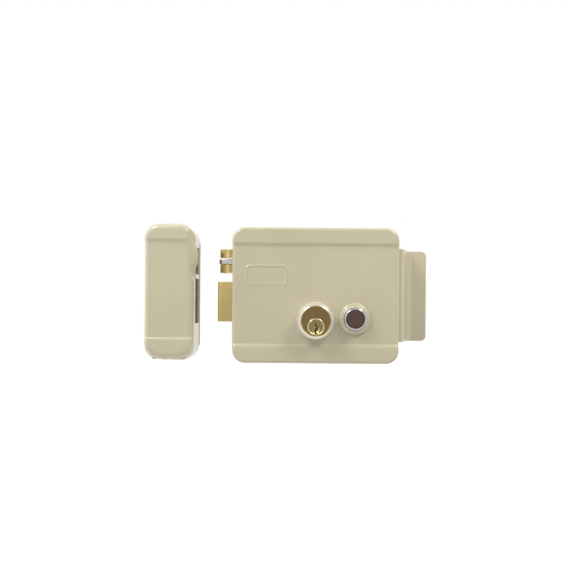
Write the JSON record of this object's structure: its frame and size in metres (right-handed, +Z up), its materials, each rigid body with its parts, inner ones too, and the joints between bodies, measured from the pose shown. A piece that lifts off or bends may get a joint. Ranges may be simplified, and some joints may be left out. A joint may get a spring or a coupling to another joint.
{
  "type": "electric door lock with keeper",
  "caption": "Surface-mounted electric door lock with main bolt, trigger latch, key cylinder, push button and side wing, and its separate strike box.",
  "frame": {"origin": "centre of the lock's back plane, where it meets the door, which is also the centre of the four door screw holes", "axes": "+Z up, +Y into the door, so the cover faces -Y, +X away from the keeper, along the bolts' travel when they are drawn in"},
  "size_m": [0.2455, 0.0517, 0.1186],
  "materials": {
    "enamel": "gloss",
    "keeper_enamel": "gloss",
    "brass": "brushed",
    "latch_brass": "polished",
    "zinc_plate": "satin",
    "screw_steel": "satin",
    "collar_nickel": "turned",
    "chrome": "polished",
    "cap_dark": "brushed",
    "steel": "satin",
    "spring_steel": "satin",
    "black_plastic": "matte",
    "winding_copper": "gloss",
    "terminal_plastic": "matte",
    "lead_red": "gloss",
    "rubber_black": "matte"
  },
  "bodies": {
    "case": {"back_plate": "zinc_plate", "forend_plate": "zinc_plate", "front_cover": "enamel", "cover_lugs": "zinc_plate", "cover_screws": "screw_steel", "mounting_wing": "enamel", "wing_rivets": "screw_steel", "cylinder_housing": "brass", "cylinder_collar": "collar_nickel", "cylinder_nut": "zinc_plate", "collar_set_screw": "screw_steel", "button_bezel": "enamel", "button_nut": "zinc_plate", "button_spring": "spring_steel", "switch_body": "black_plastic", "solenoid_frame": "zinc_plate", "solenoid_screws": "zinc_plate", "coil_bobbin": "black_plastic", "coil_winding": "winding_copper", "pole_piece": "steel", "armature_spring": "spring_steel", "pivot_posts": "steel", "retaining_clips": "spring_steel", "bolt_spring": "spring_steel", "bolt_spring_rod": "steel", "spring_brackets": "zinc_plate", "guide_rails": "zinc_plate", "trigger_spring": "spring_steel", "trigger_spring_rod": "steel", "terminal_block": "terminal_plastic", "terminal_screws": "zinc_plate", "coil_leads": "lead_red", "cable_grommet": "rubber_black"},
    "main_bolt": {"bolt_head": "brass", "bolt_tail": "steel", "bolt_rivets": "steel", "bolt_pin": "steel"},
    "retractor": {"retractor_lever": "zinc_plate"},
    "armature": {"armature": "steel", "armature_pin": "zinc_plate"},
    "trigger": {"trigger_latch": "latch_brass", "trigger_pin": "steel"},
    "tongue": {"trigger_tongue": "steel"},
    "catch": {"catch_lever": "zinc_plate"},
    "plug": {"key_plug": "brass", "plug_cam": "steel", "cam_screws": "zinc_plate"},
    "button": {"button_shell": "chrome", "button_cap": "cap_dark", "button_stem": "zinc_plate"},
    "keeper": {"keeper_cover": "keeper_enamel", "keeper_base": "zinc_plate", "keeper_pocket": "zinc_plate", "keeper_posts": "zinc_plate", "keeper_screws": "screw_steel"}
  },
  "joints": [
    {"name": "main_bolt_slide", "type": "slide", "parent": "case", "child": "main_bolt", "axis": [1, 0, 0], "range_m": [0, 0.0135], "stiffness_N_per_m": 250, "springref_m": -0.01, "deforming": ["bolt_spring"]},
    {"name": "retractor_hinge", "type": "hinge", "parent": "case", "child": "retractor", "pos_m": [-0.006, -0.0163, 0.05], "axis": [0, -1, 0], "range_deg": [0, 15.38]},
    {"name": "armature_slide", "type": "slide", "parent": "case", "child": "armature", "axis": [1, 0, 0], "range_m": [0, 0.00459], "deforming": ["armature_spring"]},
    {"name": "trigger_slide", "type": "slide", "parent": "case", "child": "trigger", "axis": [1, 0, 0], "range_m": [0, 0.0123], "stiffness_N_per_m": 200, "springref_m": -0.008, "deforming": ["trigger_spring"]},
    {"name": "tongue_hinge", "type": "hinge", "parent": "trigger", "child": "tongue", "pos_m": [-0.0688, -0.014, 0.0294], "axis": [0, 0, 1], "range_deg": [-6, 6], "stiffness_Nm_per_rad": 0.02},
    {"name": "catch_hinge", "type": "hinge", "parent": "case", "child": "catch", "pos_m": [-0.022, -0.0086, 0.011], "axis": [0, 1, 0], "range_deg": [0, 5], "stiffness_Nm_per_rad": 0.02, "springref_deg": -2.86},
    {"name": "key_plug_turn", "type": "hinge", "parent": "case", "child": "plug", "pos_m": [0, -0.014, -0.0256], "axis": [0, 1, 0], "range_deg": [-90, 105]},
    {"name": "button_slide", "type": "slide", "parent": "case", "child": "button", "axis": [0, 1, 0], "range_m": [0, 0.0045], "stiffness_N_per_m": 300, "springref_m": -0.003, "deforming": ["button_spring"]},
    {"name": "keeper_fit", "type": "slide", "parent": "case", "child": "keeper", "axis": [1, 0, 0], "range_m": [0, 0.029]}
  ],
  "couplings": [
    {"joint": "retractor_hinge", "follows": "main_bolt_slide", "rad_per_m": 19.88},
    {"joint": "armature_slide", "follows": "main_bolt_slide", "ratio": 0.34}
  ]
}
